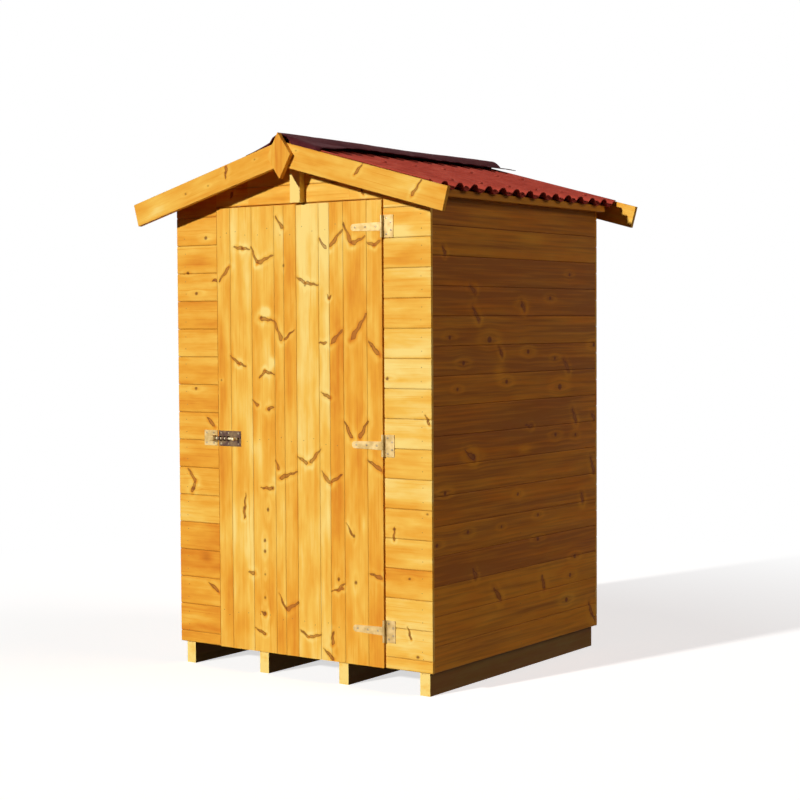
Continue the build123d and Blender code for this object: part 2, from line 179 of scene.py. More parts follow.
def smooth(value):
    value = np.clip(value, 0, 1)
    return value * value * (3 - 2 * value)


class Face:
    """A flat face to cover with boards: its own directions along and across them."""

    def __init__(self, origin, along, across, normal, thickness):
        self.origin = np.array(origin, float)
        self.along = np.array(along, float)
        self.across = np.array(across, float)
        self.normal = np.array(normal, float)
        self.thickness = thickness

    def point(self, a, c, depth):
        a, c, depth = (np.asarray(v, float)[..., None] for v in (a, c, depth))
        return self.origin + a * self.along + c * self.across - depth * self.normal


class Marks:
    """Knots, spikes and patches of the timber, in a face's own coordinates."""

    def __init__(self, knots=(), spikes=(), patches=(), scale=1.0):
        self.knots = [(a, c, r * scale) for a, c, r in knots]
        self.spikes = [(start, end, w * scale) for start, end, w in spikes]
        self.patches = list(patches)

    def knot(self, a, c):
        """Distance inside the nearest knot's edge, in centimetres."""
        inside = np.full_like(a, -2.0)
        for ka, kc, r in self.knots:
            d = np.hypot((a - ka) / 1.2, c - kc)
            inside = np.maximum(inside, 100 * (0.72 * r - d))
        return inside

    def spike(self, a, c):
        """Distance inside the nearest spike knot's edge, in centimetres."""
        inside = np.full_like(a, -2.0)
        for (a0, c0), (a1, c1), w in self.spikes:
            t, d = self.along_spike(a, c, a0, c0, a1, c1)
            half = w * (0.16 + 0.72 * t) * (1 - smooth((t - 0.88) / 0.16))
            inside = np.maximum(inside, 100 * (half - d))
        return inside

    @staticmethod
    def along_spike(a, c, a0, c0, a1, c1):
        """How far along a slightly wavy spike, from 0 to 1, and how far from its middle."""
        a, c = a + 1.6 * MM * np.sin(210 * c), c + 2.4 * MM * np.sin(150 * a + 40 * c)
        run = (a1 - a0, c1 - c0)
        t = ((a - a0) * run[0] + (c - c0) * run[1]) / (run[0] ** 2 + run[1] ** 2)
        near = np.clip(t, 0, 1)
        return near, np.hypot(a - a0 - near * run[0], c - c0 - near * run[1])

    def tone(self, a, c):
        """How much lighter or darker the marks make the wood."""
        tone = np.zeros_like(a)
        for pa, pc, ra, rc, amount in self.patches:
            tone += amount * np.exp(-(((a - pa) / ra) ** 2) - ((c - pc) / rc) ** 2)
        for ka, kc, r in self.knots:
            d = np.hypot((a - ka) / 2.5, c - kc) / r
            tone += 0.07 * np.exp(-((d - 1.7) ** 2) / 0.5)
        for (a0, c0), (a1, c1), w in self.spikes:
            t, d = self.along_spike(a, c, a0, c0, a1, c1)
            tone += 0.12 * np.exp(-(((d - 1.8 * w) / (1.3 * w)) ** 2)) * (0.3 + 0.7 * t)
            tone -= 0.24 * np.exp(-((d / (1.3 * w)) ** 2)) * (0.3 + 0.7 * t)
        return tone

    def bend(self, a, c):
        """How far the grain is pushed aside by the knots."""
        shift = np.zeros_like(a)
        for ka, kc, r in self.knots:
            near = np.exp(-(((a - ka) / (3.5 * r)) ** 2))
            side = c - kc
            shift += -near * np.sign(side) * r * np.exp(-np.abs(side) / (3 * r))
        return shift


def random_marks(seed, along, across, count):
    """Knots scattered over a face that the photograph doesn't show."""
    rng = random.Random(seed)
    knots, spikes = [], []
    for _ in range(count):
        a, c = rng.uniform(*along), rng.uniform(*across)
        if rng.random() < 0.6:
            knots.append((a, c, rng.uniform(4, 10) * MM))
        else:
            run = rng.uniform(20, 55) * MM
            slant = rng.choice((-1, 1)) * rng.uniform(0.4, 1.1)
            spikes.append(((a, c), (a + run, c + slant * run), rng.uniform(6, 9) * MM))
    patches = []
    for _ in range(count // 2):
        a, c = rng.uniform(*along), rng.uniform(*across)
        size = (rng.uniform(40, 120) * MM, rng.uniform(10, 30) * MM)
        patches.append((a, c, *size, rng.uniform(-0.1, 0.15)))
    return Marks(knots, spikes, patches)


NO_MARKS = Marks()


def place(name, data):
    """An object with this mesh, lamp or camera, in the scene."""
    obj = bpy.data.objects.new(name, data)
    scene.collection.objects.link(obj)
    return obj


def place_shape(name, shape, material):
    """An object from a bmesh, which is freed."""
    mesh = bpy.data.meshes.new(name)
    shape.to_mesh(mesh)
    shape.free()
    mesh.materials.append(material)
    return place(name, mesh)


class Boards:
    """Gathers the boards of one piece and turns them into one mesh."""

    def __init__(self, face, marks=NO_MARKS, groove=WALL_GROOVE, cell=CELL):
        self.face = face
        self.cell = cell
        self.marks = marks
        self.groove_width, self.groove_depth = groove
        self.points = []
        self.faces = []
        self.layers = {}

    def plain(self, start, end, base, tone, seed):
        """One board with straight edges."""
        self.add(start, end, lambda a: base[0], lambda a: base[1], base, tone, seed)

    def add(self, start, end, low, high, base, tone, seed, stops=()):
        """One board from start to end; low and high give its edges at each place along it."""
        base_low, base_high = base
        count = max(2, int(round((end - start) / self.cell)))
        columns = sorted(set(np.linspace(start, end, count + 1)) | {s for s in stops if start < s < end})
        columns = np.array(columns)
        rows = max(2, int(round((base_high - base_low) / self.cell)))
        edge = self.groove_width / (base_high - base_low)
        middle = np.linspace(edge, 1 - edge, rows)[1:-1]
        fractions = np.array([0, edge * 0.5, edge, *middle, 1 - edge, 1 - edge * 0.5, 1])
        bottom = np.array([low(a) for a in columns])
        top = np.maximum(np.array([high(a) for a in columns]), bottom)
        a = np.repeat(columns[:, None], len(fractions), 1)
        c = bottom[:, None] + (top - bottom)[:, None] * fractions[None, :]
        c = np.clip(c, base_low + JOINT_GAP / 2, base_high - JOINT_GAP / 2)
        to_edge = np.minimum(c - base_low, base_high - c) - JOINT_GAP / 2
        seam = 1 - np.clip(to_edge / self.groove_width, 0, 1)
        depth = self.groove_depth * seam
        start_index = sum(len(p) for p in self.points)
        n, m = a.shape
        self.points.append(self.face.point(a, c, depth).reshape(-1, 3))
        self._shade(a, c, seam, tone, seed)
        index = start_index + np.arange(n * m).reshape(n, m)
        for i in range(n - 1):
            for j in range(m - 1):
                self.faces.append((index[i, j], index[i + 1, j], index[i + 1, j + 1], index[i, j + 1]))
        ring = [*index[:, 0], *index[-1, 1:], *index[-2::-1, -1], *index[0, -2:0:-1]]
        self._close(ring, a, c, seam, tone, seed, start_index)

    def _shade(self, a, c, seam, tone, seed):
        """What the material reads at each point."""
        marks = self.marks
        for label, values in (
            ("grain", np.stack([a, c + marks.bend(a, c), np.full_like(a, seed)], -1)),
            ("knot", marks.knot(a, c)),
            ("spike", marks.spike(a, c)),
            ("tone", tone + marks.tone(a, c)),
            ("seam", seam),
        ):
            self.layers.setdefault(label, []).append(values.ravel())

    def _close(self, ring, a, c, seam, tone, seed, start_index):
        """Edges and back of the board, from the outline of its front."""
        flat = np.array(ring) - start_index
        ring_a = a.reshape(-1)[flat]
        ring_c = c.reshape(-1)[flat]
        back_index = start_index + a.size
        self.points.append(self.face.point(ring_a, ring_c, np.full_like(ring_a, self.face.thickness)))
        self._shade(ring_a, ring_c, np.zeros_like(ring_a), tone, seed)
        total = len(ring)
        for k in range(total):
            following = (k + 1) % total
            self.faces.append((ring[k], back_index + k, back_index + following, ring[following]))
        self.faces.append(tuple(back_index + k for k in range(total)))

    def piece(self, name, node, material, slot):
        mesh = bpy.data.meshes.new(name)
        points = np.concatenate(self.points)
        mesh.from_pydata(points.tolist(), [], [tuple(int(i) for i in f) for f in self.faces])
        for label, values in self.layers.items():
            kind, key = ("FLOAT_VECTOR", "vector") if label == "grain" else ("FLOAT", "value")
            layer = mesh.attributes.new(label, kind, "POINT")
            layer.data.foreach_set(key, np.concatenate(values).astype(np.float32))
        shape = bmesh.new()
        shape.from_mesh(mesh)
        bmesh.ops.remove_doubles(shape, verts=shape.verts, dist=2e-5)
        bmesh.ops.recalc_face_normals(shape, faces=shape.faces)
        shape.to_mesh(mesh)
        shape.free()
        mesh.materials.append(material)
        obj = place(name, mesh)
        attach(obj, frame["nodes"][node]["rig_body"])
        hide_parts(node)
        return obj


def new_material(name):
    material = bpy.data.materials.new(name)
    material.use_nodes = True
    return material, material.node_tree, material.node_tree.nodes["Principled BSDF"]


def feed(tree, socket, value):
    """Gives a socket a number, a colour or another socket's value."""
    if isinstance(value, (int, float)):
        socket.default_value = value
    elif isinstance(value, tuple):
        socket.default_value = (*value, 1)
    else:
        tree.links.new(value, socket)


def fed(tree, kind, **inputs):
    """A shader node with its inputs given by name."""
    node = tree.nodes.new("ShaderNode" + kind)
    for name, value in inputs.items():
        feed(tree, node.inputs[name], value)
    return node


def ramp(tree, value, stops):
    """The colour that belongs to a value."""
    node = tree.nodes.new("ShaderNodeValToRGB")
    elements = node.color_ramp.elements
    while len(elements) < len(stops):
        elements.new(0.5)
    for element, (position, colour) in zip(elements, stops):
        element.position = position
        element.color = (*colour, 1)
    tree.links.new(value, node.inputs[0])
    return node.outputs[0]


def maths(tree, operation, a, b=None):
    """A maths node's output; a and b are numbers or sockets."""
    node = tree.nodes.new("ShaderNodeMath")
    node.operation = operation
    for socket, value in zip(node.inputs, (a, b)):
        if value is not None:
            feed(tree, socket, value)
    return node.outputs[0]


def plus(tree, a, b):
    return maths(tree, "ADD", a, b)


def minus(tree, a, b):
    return maths(tree, "SUBTRACT", a, b)


def times(tree, a, b):
    return maths(tree, "MULTIPLY", a, b)


def stretched(tree, vector, scale):
    node = tree.nodes.new("ShaderNodeVectorMath")
    node.operation = "MULTIPLY"
    tree.links.new(vector, node.inputs[0])
    node.inputs[1].default_value = scale
    return node.outputs[0]


def noise(tree, vector, scale, detail):
    vector = stretched(tree, vector, scale)
    return fed(tree, "TexNoise", Vector=vector, Scale=1.0, Detail=detail, Roughness=0.55).outputs["Fac"]


def roughen(tree, shader, height, strength, distance):
    """Fine relief on a material."""
    bump = fed(tree, "Bump", Strength=strength, Distance=distance, Height=height)
    tree.links.new(bump.outputs[0], shader.inputs["Normal"])


def clamp(tree, value, top=1.0):
    """The value kept between zero and top."""
    return maths(tree, "MINIMUM", maths(tree, "MAXIMUM", value, 0.0), top)


def mix(tree, factor, first, second):
    node = tree.nodes.new("ShaderNodeMix")
    node.data_type = "RGBA"
    for index, value in ((0, factor), (6, first), (7, second)):
        feed(tree, node.inputs[index], value)
    return node.outputs[2]


# Stained pine
PINE = [
    (0.15, (0.52, 0.14, 0.008)),
    (0.36, (0.74, 0.25, 0.016)),
    (0.54, (0.86, 0.39, 0.036)),
    (0.70, (0.93, 0.54, 0.085)),
    (0.88, (0.98, 0.72, 0.22)),
]
KNOT_BROWN = (0.15, 0.036, 0.007)
SPIKE_TAN = (0.36, 0.125, 0.024)
# Painted shade: the dark colour of the shaded copy of the pine
PAINTED_SHADE_DARK = (0.30, 0.088, 0.014)
# Painted shade on the bearers' flanks
BEARER_PAINTED_SHADE = (0.050, 0.026, 0.008)
SEAM_BROWN = (0.20, 0.065, 0.010)


def attribute(tree, label):
    node = tree.nodes.new("ShaderNodeAttribute")
    node.attribute_name = label
    return node.outputs["Fac"]


def scattered_knots(tree, vector, amount):
    """Knots of timbers that have no marks of their own."""
    cells = fed(tree, "TexVoronoi", Vector=stretched(tree, vector, (2.6, 9.0, 3.0)), Scale=1.0)
    spot = minus(tree, 0.10, cells.outputs["Distance"])
    return times(tree, spot, 10 * amount)


def paint_spikes(tree, base, frayed, clouds):
    """Spike knots: tan inside, with a dark broken rim."""
    spike = attribute(tree, "spike")
    inside = clamp(tree, plus(tree, times(tree, spike, 2.0), 0.5))
    base = mix(tree, times(tree, inside, 0.60), base, SPIKE_TAN)
    rim = maths(tree, "ABSOLUTE", plus(tree, spike, frayed))
    rim = maths(tree, "MAXIMUM", minus(tree, 1.0, times(tree, rim, 4.2)), 0.0)
    rim = times(tree, rim, plus(tree, times(tree, clouds, 1.8), -0.05))
    return mix(tree, clamp(tree, rim, 0.78), base, KNOT_BROWN)


def paint_shade(tree, base, streaks, bands, shade):
    """Painted shade: darker streaks and boards, a shaded copy of the pine for wood that stands in the
    shade.
    """
    depth = plus(tree, times(tree, streaks, 0.55), times(tree, bands, 0.45))
    depth = minus(tree, depth, attribute(tree, "tone"))
    depth = times(tree, minus(tree, depth, 0.47), shade)
    return mix(tree, clamp(tree, depth, 0.75), base, PAINTED_SHADE_DARK)


def pine(name, vector_source, brightness=0.0, wild_knots=0.0, spikes=False, painted_highlight_ends=0.0, shade=0.0):
    """Honey stained pine. vector_source makes the (along, across, seed) socket in the tree."""
    material, tree, shader = new_material(name)
    vector = vector_source(tree)

    streaks = noise(tree, vector, (1.3, 19.0, 37.0), 3.0)
    bands = noise(tree, vector, (2.2, 85.0, 53.0), 2.0)
    fibres = noise(tree, vector, (7.0, 520.0, 71.0), 2.0)
    clouds = noise(tree, vector, (4.5, 15.0, 19.0), 3.0)
    lines = noise(tree, vector, (3.0, 190.0, 91.0), 2.0)
    lines = times(tree, maths(tree, "MAXIMUM", minus(tree, 0.40, lines), 0.0), -2.2)
    lines = times(tree, lines, clouds)
    value = plus(tree, times(tree, streaks, 0.50), lines)
    for layer, share in ((bands, 0.13), (clouds, 0.62), (fibres, 0.08)):
        value = plus(tree, value, times(tree, layer, share))
    value = plus(tree, value, plus(tree, attribute(tree, "tone"), -0.07 + brightness))
    # Painted shade: the shaded copy keeps its grain in a narrower middle range of colours
    if shade:
        value = plus(tree, times(tree, value, 0.45), 0.20)
    # Painted light by which way a face looks: a painted highlight on end faces, and painted shade on flanks
    # below
    if painted_highlight_ends:
        facing = tree.nodes.new("ShaderNodeSeparateXYZ")
        tree.links.new(tree.nodes.new("ShaderNodeNewGeometry").outputs["Normal"], facing.inputs[0])
        end = maths(tree, "ABSOLUTE", facing.outputs["Y"])
        end = maths(tree, "MAXIMUM", minus(tree, end, 0.9), 0.0)
        value = plus(tree, value, times(tree, end, 10 * painted_highlight_ends))
        painted_shade_flank = times(tree, maths(tree, "ABSOLUTE", facing.outputs["X"]), 0.8)
    base = ramp(tree, value, PINE)
    # Painted shade: the shaded copy's streaks and boards are darkened
    if shade:
        base = paint_shade(tree, base, streaks, bands, shade)

    knot = scattered_knots(tree, vector, wild_knots) if wild_knots else attribute(tree, "knot")
    ragged = noise(tree, vector, (60.0, 260.0, 11.0), 2.0)
    frayed = times(tree, minus(tree, ragged, 0.5), 0.6)
    knot = plus(tree, times(tree, plus(tree, knot, frayed), 1.7), 0.42)
    base = mix(tree, clamp(tree, knot, 0.86), base, KNOT_BROWN)
    if spikes:
        base = paint_spikes(tree, base, frayed, clouds)
    # Painted shade on the bearers' flanks
    if painted_highlight_ends:
        base = mix(tree, painted_shade_flank, base, BEARER_PAINTED_SHADE)
    seam = times(tree, attribute(tree, "seam"), 0.34)
    base = mix(tree, seam, base, SEAM_BROWN)
    tree.links.new(base, shader.inputs["Base Color"])

    rough = plus(tree, times(tree, bands, 0.2), 0.5)
    tree.links.new(rough, shader.inputs["Roughness"])
    shader.inputs["Specular IOR Level"].default_value = 0.12
    roughen(tree, shader, plus(tree, fibres, bands), 0.25, 0.001)
    return material


def from_attribute(tree):
    """The boards' own coordinates."""
    node = tree.nodes.new("ShaderNodeAttribute")
    node.attribute_name = "grain"
    return node.outputs["Vector"]


def from_object(turn):
    """Object coordinates turned so that X runs along the timber."""

    def source(tree):
        coordinates = tree.nodes.new("ShaderNodeTexCoord")
        mapping = tree.nodes.new("ShaderNodeMapping")
        mapping.inputs["Rotation"].default_value = [math.radians(v) for v in turn]
        tree.links.new(coordinates.outputs["Object"], mapping.inputs["Vector"])
        return mapping.outputs[0]

    return source


ALONG_X = from_object((0, 0, 0))
ALONG_Y = from_object((0, 0, 90))
ALONG_Z = from_object((0, 90, 0))
board_pine = pine("board_pine", from_attribute, spikes=True)
# Painted shade: the side walls' pine is a darker shaded copy
side_pine_painted_shade = pine("side_pine_painted_shade", from_attribute, 0.06, spikes=True, shade=3.2)
timber_x = pine("timber_x", ALONG_X, -0.02, 0.5)
timber_y = pine("timber_y", ALONG_Y, -0.02, 0.5)
timber_z = pine("timber_z", ALONG_Z, -0.02, 0.5)
# Painted light: the gable post's pine is brightened so that it reads as sunlit also where the bargeboards
# shade it
pale_timber_z_painted_light = pine("pale_timber_z_painted_light", ALONG_Z, 0.42, 0.3)
# Painted shade: the eaves rails' pine is a darker shaded copy, for rails under the roof's overhang
eaves_pine_painted_shade = pine("eaves_pine_painted_shade", ALONG_Y, 0.0, 0.5, shade=3.0)
# Painted light and shade: bearers with a painted highlight on their ends and painted shade on their flanks
bearer_pine_painted_light = pine("bearer_pine_painted_light", ALONG_Y, -0.02, 0.5, painted_highlight_ends=0.34)


def painted(material, *names):
    """One material on nodes that keep their solids' shapes."""
    for name in names:
        mesh = nodes[name].data
        mesh.materials.clear()
        mesh.materials.append(material)


# Planes of the walls and the roof's slope
wall_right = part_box("back_wall")[1].x
wall_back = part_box("back_wall")[1].y
panel_low, panel_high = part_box("front_wall_right")
rail_low, rail_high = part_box("eaves_rail_right")
wall_front = panel_low.y
cladding = panel_high.y - panel_low.y
roof_slope = (panel_high.z - rail_high.z) / (panel_high.x - panel_low.x)
roof_apex = panel_high.z + roof_slope * panel_low.x


def roof_height(x):
    """Underside of the sheets at this distance from the ridge."""
    return roof_apex - roof_slope * abs(x)


def strips(bottom, top, first_joint, cover):
    """Board edges from bottom to top, with a joint at first_joint and every cover above it."""
    edges = [bottom]
    level = first_joint
    while level < top - SHORTEST_STRIP:
        if level > bottom + SHORTEST_STRIP:
            edges.append(level)
        level += cover
    edges.append(top)
    return list(zip(edges, edges[1:]))


def board_tones(count, seed, spread):
    """How light or dark each board is."""
    rng = random.Random(seed)
    return [rng.uniform(-spread, spread) for _ in range(count)]


def end_wall(name, node, face, span, bottom, marks, first_joint, seed, splits=(), tone=0.0, cell=CELL):
    """Horizontal boards up to the roof's slope, over a span of X."""
    left, right = span
    boards = Boards(face, marks, cell=cell)
    sign = face.along[0]
    spans = [left, *splits, right]
    tallest = max(roof_height(x) for x in (left, right, *([0] if left < 0 < right else [])))
    levels = strips(bottom, tallest, first_joint, BOARD_COVER)
    tones = board_tones(len(levels) * len(spans), seed, END_SPREAD)
    for row, (lower, upper) in enumerate(levels):
        for column, (x0, x1) in enumerate(zip(spans, spans[1:])):
            limits = [x0, x1]
            for reach in (lower, upper):
                x = (roof_apex - reach) / roof_slope
                limits += [v for v in (-x, x) if x0 < v < x1]
            inside = [v for v in sorted(limits) if roof_height(v) >= lower - 1e-6]
            if x0 < 0 < x1 and roof_height(0) > lower:
                inside = sorted([*inside, 0])
            if len(inside) < 2:
                continue
            boards.add(
                *sorted((sign * inside[0], sign * inside[-1])),
                lambda a, lower=lower: lower,
                lambda a, upper=upper, lower=lower: max(lower, min(upper, roof_height(a))),
                (lower, upper),
                tones[row * len(spans) + column] + tone,
                seed + ROW_STEP * row + COLUMN_STEP * column,
                stops=[sign * v for v in inside],
            )
    return boards.piece(name, node, board_pine, "cladding_wood")


def knots_mm(entries, upright=False):
    """Knots from X, Z and radius in millimetres; upright boards have Z along and X across."""
    if upright:
        entries = [(z, x, r) for x, z, r in entries]
    return [(a * MM, c * MM, r * MM) for a, c, r in entries]


def spikes_mm(entries, upright=False):
    """Spikes from the thin end's X and Z, the thick end's X and Z, and width in millimetres."""
    if upright:
        entries = [(z0, x0, z1, x1, w) for x0, z0, x1, z1, w in entries]
    return [((a0 * MM, c0 * MM), (a1 * MM, c1 * MM), w * MM) for a0, c0, a1, c1, w in entries]


def patches_mm(entries, upright=False):
    """Lighter or darker patches from X, Z and half sizes in millimetres, and the amount."""
    if upright:
        entries = [(z, x, rz, rx, amount) for x, z, rx, rz, amount in entries]
    return [(a * MM, c * MM, ra * MM, rc * MM, amount) for a, c, ra, rc, amount in entries]


front_face = Face((0, wall_front, 0), (1, 0, 0), (0, 0, 1), (0, -1, 0), cladding)
back_face = Face((0, wall_back, 0), (-1, 0, 0), (0, 0, 1), (0, 1, 0), cladding)

LEFT_SPIKES = [
    (-462, 990, -424, 953, 9), (-566, 782, -525, 730, 9), (-525, 732, -545, 690, 10),
    (-462, 334, -410, 300, 8), (-428, 1522, -402, 1526, 7),
]
left_marks = Marks(
    knots_mm([(-458, 1692, 9), (-555, 1557, 8), (-510, 1475, 9), (-518, 1100, 8), (-538, 702, 11)]),
    spikes_mm(LEFT_SPIKES),
    patches_mm([(-450, 1690, 30, 10, 0.2), (-470, 430, 30, 22, -0.2), (-500, 180, 80, 14, 0.12)]),
)
right_marks = Marks(
    knots_mm([(415, 1152, 10), (443, 602, 10), (510, 425, 8), (545, 142, 9), (590, 665, 6)]),
    spikes_mm([(582, 1025, 602, 985, 6), (500, 248, 516, 200, 5), (444, 610, 440, 560, 6)]),
    patches_mm([(470, 1680, 55, 28, 0.25), (500, 1245, 110, 16, 0.25), (490, 905, 90, 22, 0.12)]),
    scale=0.85,
)
gable_marks = Marks(
    spikes=spikes_mm([(-330, 1838, -318, 1866, 6), (300, 1850, 312, 1826, 6)]),
    patches=patches_mm([(-200, 1850, 80, 16, 0.1)]),
)
for piece, node, marks, first_joint, seed, splits, tone in (
    ("front_boards_left", "front_wall_left", left_marks, FRONT_FIRST_JOINT, 3, (), LEFT_PANEL_TONE),
    ("front_boards_right", "front_wall_right", right_marks, FRONT_FIRST_JOINT, 7, (), RIGHT_PANEL_TONE),
    ("front_boards_gable", "front_gable", gable_marks, GABLE_FIRST_JOINT, 11, GABLE_SPLITS, 0.0),
):
    low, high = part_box(node)
    end_wall(piece, node, front_face, (low.x, high.x), low.z, marks, first_joint, seed, splits, tone)
end_wall(
    "back_boards",
    "back_wall",
    back_face,
    (-wall_right, wall_right),
    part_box("back_wall")[0].z,
    random_marks(61, (-wall_right, wall_right), (0.1, 1.95), HIDDEN_KNOTS),
    FRONT_FIRST_JOINT,
    17,
    cell=HIDDEN_CELL,
)

SIDE_KNOTS = [
    (390, 1290, 13), (995, 1545, 7), (840, 1450, 8), (120, 1300, 8), (210, 1205, 9), (670, 1240, 9),
    (510, 1128, 9), (915, 1095, 13), (875, 1210, 7), (1195, 1260, 9), (625, 1420, 9), (170, 1110, 7),
    (85, 735, 9), (235, 578, 8), (470, 575, 6), (30, 550, 8), (740, 500, 9), (1035, 398, 9),
    (995, 325, 9), (965, 228, 10), (590, 690, 7), (880, 905, 9), (1040, 895, 7), (275, 855, 12),
    (740, 595, 7),
]
SIDE_SPIKES = [
    (75, 1632, 92, 1606, 7), (255, 1488, 290, 1470, 8), (272, 1412, 316, 1365, 8),
    (455, 1262, 478, 1232, 7), (945, 1205, 985, 1160, 8), (1015, 1000, 1045, 950, 8),
    (265, 442, 290, 405, 8), (410, 350, 462, 298, 9), (770, 350, 790, 298, 10), (1088, 655, 1100, 622, 9),
    (1165, 795, 1195, 735, 9), (1150, 190, 1175, 140, 10), (1175, 140, 1215, 108, 8),
    (1175, 975, 1205, 950, 8), (220, 880, 280, 848, 9), (640, 955, 700, 948, 6),
    (620, 1436, 642, 1406, 8),
]
side_marks = Marks(
    knots_mm(SIDE_KNOTS),
    spikes_mm(SIDE_SPIKES),
    patches_mm([(700, 1680, 120, 20, 0.12), (460, 1170, 40, 30, 0.15), (640, 860, 50, 16, 0.2)]),
    scale=1.3,
)


def side_wall(name, node, side, marks, seed, cell):
    """Horizontal boards between the end walls; side is +1 on the right and -1 on the left."""
    box_low, box_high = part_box(node)
    outer = box_high.x if side > 0 else box_low.x
    corner = wall_front if side > 0 else wall_back
    face = Face((outer, corner, 0), (0, side, 0), (0, 0, 1), (side, 0, 0), cladding)
    boards = Boards(face, marks, cell=cell)
    levels = strips(box_low.z, box_high.z, SIDE_FIRST_JOINT, SIDE_COVER)
    # Painted shade: every side board is made darker
    tones = [tone + SIDE_PAINTED_SHADE_TONE for tone in board_tones(len(levels), seed, SIDE_SPREAD)]
    start, end = sorted((side * (box_low.y - corner), side * (box_high.y - corner)))
    for row, base in enumerate(levels):
        boards.plain(start, end, base, tones[row], seed + ROW_STEP * row)
    return boards.piece(name, node, side_pine_painted_shade, "cladding_wood")


side_wall("side_boards_right", "right_wall", 1, side_marks, 23, SIDE_CELL)
hidden_side_marks = random_marks(67, (0.0, 1.22), (0.1, 1.8), HIDDEN_KNOTS)
side_wall("side_boards_left", "left_wall", -1, hidden_side_marks, 31, HIDDEN_CELL)

# Door
door_low, door_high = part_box("door_leaf")
DOOR_KNOTS = [
    (-63, 1575, 6), (40, 1498, 5), (-140, 1026, 8), (-125, 724, 8), (-270, 640, 8), (-150, 640, 9),
    (-167, 520, 8), (-167, 478, 8), (-167, 388, 5), (-168, 298, 6), (-170, 237, 10), (270, 392, 9),
    (190, 398, 8), (-268, 1646, 8), (-175, 1378, 8), (262, 566, 8), (160, 190, 6), (-380, 1135, 5),
]
DOOR_SPIKES = [
    (-388, 1520, -335, 1575, 8), (-310, 1652, -268, 1645, 8), (-232, 1641, -268, 1646, 6),
    (-224, 1650, -192, 1586, 7), (-116, 1616, -190, 1586, 9), (-112, 1366, -183, 1376, 9),
    (-110, 1364, -74, 1290, 9), (-14, 1330, -62, 1294, 5), (-100, 1762, -66, 1714, 7),
    (0, 1530, 42, 1508, 7), (104, 1498, 44, 1507, 7), (108, 1672, 142, 1632, 8),
    (218, 1702, 160, 1640, 9), (144, 1462, 153, 1446, 5), (161, 1460, 153, 1446, 5),
    (108, 1282, 140, 1281, 6), (217, 1332, 162, 1280, 9), (221, 1726, 258, 1650, 9),
    (322, 1672, 262, 1646, 9), (327, 1388, 256, 1294, 11), (331, 1650, 364, 1638, 7),
    (392, 1656, 366, 1640, 8), (332, 1290, 384, 1238, 10), (-330, 1230, -292, 1202, 8),
    (-255, 1190, -290, 1202, 7), (-186, 1144, -160, 1176, 7), (-114, 1162, -158, 1172, 7),
    (-224, 1060, -195, 1040, 6), (-116, 1036, -150, 1028, 8), (112, 1096, 154, 1077, 8),
    (222, 990, 256, 930, 9), (330, 996, 292, 930, 10), (2, 850, 46, 826, 9), (108, 882, 60, 830, 9),
    (332, 850, 392, 814, 10), (112, 800, 152, 756, 9), (212, 792, 160, 762, 7), (-108, 832, -95, 796, 6),
    (-6, 792, -92, 764, 9), (-182, 723, -125, 722, 7), (-188, 242, -166, 232, 8),
    (-252, 391, -222, 389, 9), (-100, 322, -64, 262, 5), (-2, 294, -62, 260, 10), (226, 612, 258, 566, 4),
    (216, 384, 186, 356, 8), (157, 352, 214, 366, 5), (115, 130, 166, 92, 7), (2, 192, 46, 166, 5),
    (106, 182, 50, 166, 7), (-222, 176, -168, 156, 6), (336, 432, 392, 416, 8), (162, 200, 158, 150, 9),
    (-262, 700, -270, 600, 6),
]
DOOR_PATCHES = [
    (-250, 500, 38, 110, 0.20), (-322, 560, 10, 80, 0.18), (-318, 1720, 14, 80, 0.22),
    (130, 1730, 18, 110, 0.20), (128, 1160, 16, 90, 0.16), (-150, 1400, 20, 17, 0.55),
    (150, 1500, 16, 300, 0.10), (-122, 1205, 14, 20, 0.45), (-380, 1135, 12, 10, 0.2),
    (-215, 880, 26, 30, 0.16), (-340, 300, 40, 120, -0.05), (186, 700, 26, 300, -0.12),
    (-35, 1400, 26, 500, -0.06), (262, 1200, 40, 400, -0.04), (235, 600, 10, 34, 0.2),
    (310, 610, 12, 34, 0.2), (0, 1680, 500, 190, 0.12), (-60, 1700, 30, 60, 0.05),
    (365, 230, 30, 120, -0.08), (-280, 200, 40, 60, -0.08),
]
door_marks = Marks(
    knots_mm(DOOR_KNOTS, upright=True),
    spikes_mm(DOOR_SPIKES, upright=True),
    patches_mm(DOOR_PATCHES, upright=True),
)


def door_boards():
    face = Face((0, door_low.y, 0), (0, 0, 1), (1, 0, 0), (0, -1, 0), door_high.y - door_low.y)
    boards = Boards(face, door_marks, groove=DOOR_GROOVE)
    edges = [door_low.x, *sorted(DOOR_JOINTS + MIDDLE_GROOVES), door_high.x]
    for index, base in enumerate(zip(edges, edges[1:])):
        boards.plain(door_low.z, door_high.z, base, DOOR_TONES[index], 41 + DOOR_STEP * index)
    return boards.piece("door_boards", "door_leaf", board_pine, "cladding_wood")


door_boards()


